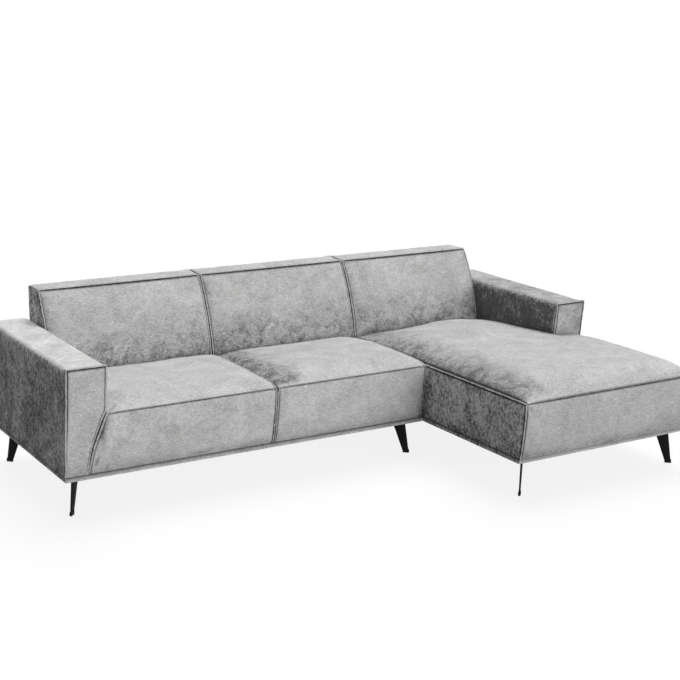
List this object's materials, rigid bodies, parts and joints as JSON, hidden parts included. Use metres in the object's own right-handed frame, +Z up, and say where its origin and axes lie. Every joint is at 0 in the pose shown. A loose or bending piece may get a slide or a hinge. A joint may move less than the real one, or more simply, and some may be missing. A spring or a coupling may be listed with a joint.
{
  "type": "sectional sofa",
  "caption": "Low corner sofa with a chaise on the right: flat arms with welted front panels, a tight leaning back, crowned seats and thin black blade legs.",
  "frame": {"origin": "middle of the footprint, on the floor", "axes": "+X along the sofa towards the chaise, +Y towards the backrest, +Z up"},
  "size_m": [2.72, 1.6522, 0.8],
  "materials": {
    "cover_fabric": "light grey mottled chenille velvet",
    "foam": "cream upholstery foam and wadding",
    "frame_wood": "planed softwood and plywood, unfinished",
    "leg_steel": "matte black powder coat on flat steel",
    "spring_steel": "oiled spring wire",
    "zinc_steel": "bright zinc plated steel",
    "webbing": "dark elastic upholstery webbing",
    "glide_plastic": "black moulded plastic",
    "dust_cloth": "black non-woven cloth"
  },
  "bodies": {
    "two_seater": {"back_1_cover": "cover_fabric", "back_1_foam": "foam", "back_2_cover": "cover_fabric", "back_2_foam": "foam", "coupling_sockets": "zinc_steel", "left_arm_cover": "cover_fabric", "left_arm_front_panel": "cover_fabric", "left_arm_padding": "foam", "left_arm_posts": "frame_wood", "left_arm_side_boards": "frame_wood", "left_arm_top_board": "frame_wood", "seat_1_cover": "cover_fabric", "seat_1_foam": "foam", "seat_2_cover": "cover_fabric", "seat_2_foam": "foam", "two_seater_back_posts": "frame_wood", "two_seater_back_top_rail": "frame_wood", "two_seater_back_webbing": "webbing", "two_seater_base_band": "cover_fabric", "two_seater_corner_blocks": "frame_wood", "two_seater_cross_rail": "frame_wood", "two_seater_dust_cover": "dust_cloth", "two_seater_front_and_rear_rails": "frame_wood", "two_seater_front_left_leg": "leg_steel", "two_seater_front_right_leg": "leg_steel", "two_seater_leg_glides": "glide_plastic", "two_seater_rear_cover": "cover_fabric", "two_seater_rear_left_leg": "leg_steel", "two_seater_rear_right_leg": "leg_steel", "two_seater_screws": "zinc_steel", "two_seater_seat_springs": "spring_steel", "two_seater_side_rails": "frame_wood"},
    "chaise": {"chaise_back_cover": "cover_fabric", "chaise_back_foam": "foam", "chaise_back_posts": "frame_wood", "chaise_back_top_rail": "frame_wood", "chaise_back_webbing": "webbing", "chaise_base_band": "cover_fabric", "chaise_corner_blocks": "frame_wood", "chaise_cross_rails": "frame_wood", "chaise_dust_cover": "dust_cloth", "chaise_front_and_rear_rails": "frame_wood", "chaise_front_left_leg": "leg_steel", "chaise_front_right_leg": "leg_steel", "chaise_leg_glides": "glide_plastic", "chaise_rear_cover": "cover_fabric", "chaise_rear_left_leg": "leg_steel", "chaise_rear_right_leg": "leg_steel", "chaise_screws": "zinc_steel", "chaise_seat_cover": "cover_fabric", "chaise_seat_foam": "foam", "chaise_seat_springs": "spring_steel", "chaise_side_rails": "frame_wood", "coupling_tongues": "zinc_steel", "right_arm_cover": "cover_fabric", "right_arm_front_panel": "cover_fabric", "right_arm_padding": "foam", "right_arm_posts": "frame_wood", "right_arm_side_boards": "frame_wood", "right_arm_top_board": "frame_wood"}
  },
  "joints": [
    {"name": "chaise_lift", "type": "slide", "parent": "two_seater", "child": "chaise", "axis": [0, 0, 1], "range_m": [0, 0.08]}
  ]
}
